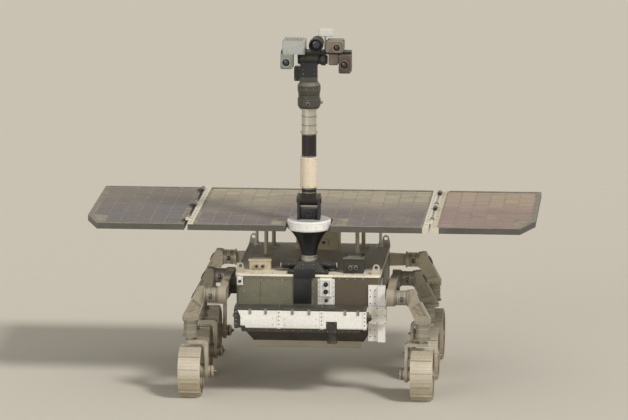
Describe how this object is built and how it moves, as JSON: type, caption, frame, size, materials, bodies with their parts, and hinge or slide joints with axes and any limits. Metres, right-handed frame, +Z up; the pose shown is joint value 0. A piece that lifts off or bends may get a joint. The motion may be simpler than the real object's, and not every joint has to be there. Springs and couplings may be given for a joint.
{
  "type": "planetary rover prototype",
  "caption": "Wheeled planetary rover prototype with folding solar wings, a folding camera mast and a front drill box, on steered metal wheels.",
  "frame": {"origin": "on the floor under the middle of the bounding box", "axes": "+X to the rover's left, the front of the rover faces -Y, +Z up"},
  "size_m": [2.45, 1.3164, 2],
  "materials": {
    "body_grey": "satin",
    "deck_tan": "matte",
    "bare_aluminium": "satin",
    "array_frame": "satin",
    "cell_board": "satin",
    "black": "satin",
    "white": "satin",
    "leg_grey": "satin",
    "actuator_black": "satin",
    "knuckle_grey": "satin",
    "wheel_metal": "satin",
    "olive_dark": "satin",
    "camera_light": "satin",
    "camera_black": "matte",
    "camera_brown": "matte",
    "antenna_white": "matte",
    "unit_dark": "matte",
    "stop_red": "gloss"
  },
  "bodies": {
    "chassis": {"body_tub": "body_grey", "deck_plate": "deck_tan", "bogie_beams_side": "leg_grey", "bogie_beam_rear": "leg_grey", "bogie_pivots": "actuator_black", "legs": "leg_grey", "deployment_actuators": "actuator_black", "steering_actuators": "actuator_black", "array_frame": "array_frame", "array_panel_centre": "cell_board", "array_posts": "bare_aluminium", "array_hinge_bars": "bare_aluminium", "mast_foot": "black", "mast_neck": "knuckle_grey", "mast_cone": "black", "mast_collar": "white", "drill_rail": "white", "front_camera_housing": "white", "front_camera_lenses": "camera_black", "lifting_eyes": "bare_aluminium", "deck_units": "unit_dark", "whip_antennas": "antenna_white", "radar_antenna": "white", "rear_panel": "bare_aluminium", "stop_button": "stop_red"},
    "wing_left": {"wing_frame_left": "array_frame", "wing_panel_left": "cell_board"},
    "wing_right": {"wing_frame_right": "array_frame", "wing_panel_right": "cell_board"},
    "mast": {"mast_tube": "black", "mast_sleeve": "white", "mast_bare_section": "bare_aluminium", "pan_housing": "olive_dark"},
    "pan": {"pan_fork": "olive_dark", "pan_drive_box": "black"},
    "head": {"camera_bench": "black", "camera_electronics": "camera_light", "camera_wide_pair": "camera_black", "camera_telephoto": "camera_black", "camera_spectrometer": "camera_brown", "camera_top_target": "antenna_white", "tilt_drive": "actuator_black"},
    "drill_carrier": {"drill_carriage": "bare_aluminium"},
    "drill": {"drill_box": "white", "drill_shoe": "actuator_black", "drill_end_cap": "actuator_black", "drill_imager": "camera_black"},
    "knuckle_front_left": {"knuckle_front_left": "knuckle_grey"},
    "wheel_front_left": {"wheel_front_left": "wheel_metal"},
    "knuckle_middle_left": {"knuckle_middle_left": "knuckle_grey"},
    "wheel_middle_left": {"wheel_middle_left": "wheel_metal"},
    "knuckle_rear_left": {"knuckle_rear_left": "knuckle_grey"},
    "wheel_rear_left": {"wheel_rear_left": "wheel_metal"},
    "knuckle_front_right": {"knuckle_front_right": "knuckle_grey"},
    "wheel_front_right": {"wheel_front_right": "wheel_metal"},
    "knuckle_middle_right": {"knuckle_middle_right": "knuckle_grey"},
    "wheel_middle_right": {"wheel_middle_right": "wheel_metal"},
    "knuckle_rear_right": {"knuckle_rear_right": "knuckle_grey"},
    "wheel_rear_right": {"wheel_rear_right": "wheel_metal"}
  },
  "joints": [
    {"name": "wing_left_fold", "type": "hinge", "parent": "chassis", "child": "wing_left", "pos_m": [0.665, 0, 0.945], "axis": [0, 1, 0], "range_deg": [-180, 0]},
    {"name": "wing_right_fold", "type": "hinge", "parent": "chassis", "child": "wing_right", "pos_m": [-0.665, 0, 0.945], "axis": [0, -1, 0], "range_deg": [-180, 0]},
    {"name": "mast_fold", "type": "hinge", "parent": "chassis", "child": "mast", "pos_m": [0, -0.34, 1.06], "axis": [-1, 0, 0], "range_deg": [0, 90]},
    {"name": "mast_pan", "type": "hinge", "parent": "mast", "child": "pan", "pos_m": [0, -0.34, 1.64], "axis": [0, 0, 1], "range_deg": [-170, 170]},
    {"name": "head_tilt", "type": "hinge", "parent": "pan", "child": "head", "pos_m": [0, -0.34, 1.83], "axis": [-1, 0, 0], "range_deg": [-80, 80]},
    {"name": "drill_lift", "type": "slide", "parent": "chassis", "child": "drill_carrier", "axis": [0, 0, 1], "range_m": [-0.09, 0.1]},
    {"name": "drill_turn", "type": "hinge", "parent": "drill_carrier", "child": "drill", "pos_m": [0.25, -0.497, 0.4525], "axis": [0, 1, 0], "range_deg": [0, 90]},
    {"name": "steer_front_left", "type": "hinge", "parent": "chassis", "child": "knuckle_front_left", "pos_m": [0.63, -0.52, 0.33], "axis": [0, 0, 1], "range_deg": [-85, 85]},
    {"name": "spin_front_left", "type": "hinge", "parent": "knuckle_front_left", "child": "wheel_front_left", "pos_m": [0.63, -0.52, 0.13816], "axis": [1, 0, 0], "continuous": true},
    {"name": "steer_middle_left", "type": "hinge", "parent": "chassis", "child": "knuckle_middle_left", "pos_m": [0.63, 0, 0.33], "axis": [0, 0, 1], "range_deg": [-85, 85]},
    {"name": "spin_middle_left", "type": "hinge", "parent": "knuckle_middle_left", "child": "wheel_middle_left", "pos_m": [0.63, 0, 0.13816], "axis": [1, 0, 0], "continuous": true},
    {"name": "steer_rear_left", "type": "hinge", "parent": "chassis", "child": "knuckle_rear_left", "pos_m": [0.63, 0.52, 0.33], "axis": [0, 0, 1], "range_deg": [-85, 85]},
    {"name": "spin_rear_left", "type": "hinge", "parent": "knuckle_rear_left", "child": "wheel_rear_left", "pos_m": [0.63, 0.52, 0.13816], "axis": [1, 0, 0], "continuous": true},
    {"name": "steer_front_right", "type": "hinge", "parent": "chassis", "child": "knuckle_front_right", "pos_m": [-0.63, -0.52, 0.33], "axis": [0, 0, 1], "range_deg": [-85, 85]},
    {"name": "spin_front_right", "type": "hinge", "parent": "knuckle_front_right", "child": "wheel_front_right", "pos_m": [-0.63, -0.52, 0.13816], "axis": [1, 0, 0], "continuous": true},
    {"name": "steer_middle_right", "type": "hinge", "parent": "chassis", "child": "knuckle_middle_right", "pos_m": [-0.63, 0, 0.33], "axis": [0, 0, 1], "range_deg": [-85, 85]},
    {"name": "spin_middle_right", "type": "hinge", "parent": "knuckle_middle_right", "child": "wheel_middle_right", "pos_m": [-0.63, 0, 0.13816], "axis": [1, 0, 0], "continuous": true},
    {"name": "steer_rear_right", "type": "hinge", "parent": "chassis", "child": "knuckle_rear_right", "pos_m": [-0.63, 0.52, 0.33], "axis": [0, 0, 1], "range_deg": [-85, 85]},
    {"name": "spin_rear_right", "type": "hinge", "parent": "knuckle_rear_right", "child": "wheel_rear_right", "pos_m": [-0.63, 0.52, 0.13816], "axis": [1, 0, 0], "continuous": true}
  ]
}
